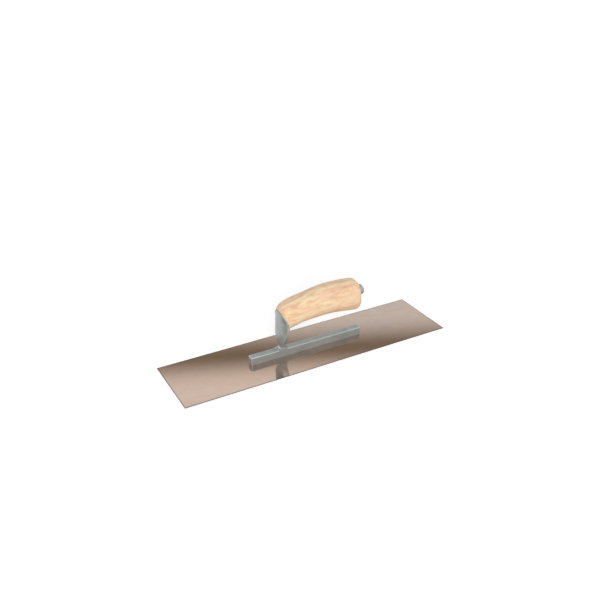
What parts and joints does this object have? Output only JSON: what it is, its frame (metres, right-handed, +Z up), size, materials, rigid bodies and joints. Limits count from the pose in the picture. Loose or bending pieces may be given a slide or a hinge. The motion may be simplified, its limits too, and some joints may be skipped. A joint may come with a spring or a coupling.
{
  "type": "finishing trowel",
  "caption": "Plain-edged finishing trowel: long flat blade riveted under a cast mounting, with a camel-back wooden handle held by a lengthwise bolt.",
  "frame": {"origin": "middle of the blade, on its underside", "axes": "+X along the blade towards the handle's free end and its bolt head, +Y across the blade, +Z up from the blade to the handle"},
  "size_m": [0.4064, 0.1016, 0.0932],
  "materials": {
    "blade_steel": "golden heat-coloured stainless sheet, finely brushed along its length",
    "cast_aluminium": "bare die-cast aluminium, satin, with worn bright edges",
    "wood": "pale hardwood, clear satin lacquer, grain along the handle",
    "bolt_steel": "zinc-plated steel",
    "rivet_steel": "steel rivet heads ground flush"
  },
  "bodies": {
    "root": {"blade": "blade_steel", "mounting": "cast_aluminium", "handle": "wood", "handle_washer": "bolt_steel", "handle_bolt": "bolt_steel", "blade_rivet_1": "rivet_steel", "blade_rivet_2": "rivet_steel", "blade_rivet_3": "rivet_steel", "blade_rivet_4": "rivet_steel", "blade_rivet_5": "rivet_steel", "blade_rivet_6": "rivet_steel", "blade_rivet_7": "rivet_steel"}
  },
  "joints": []
}
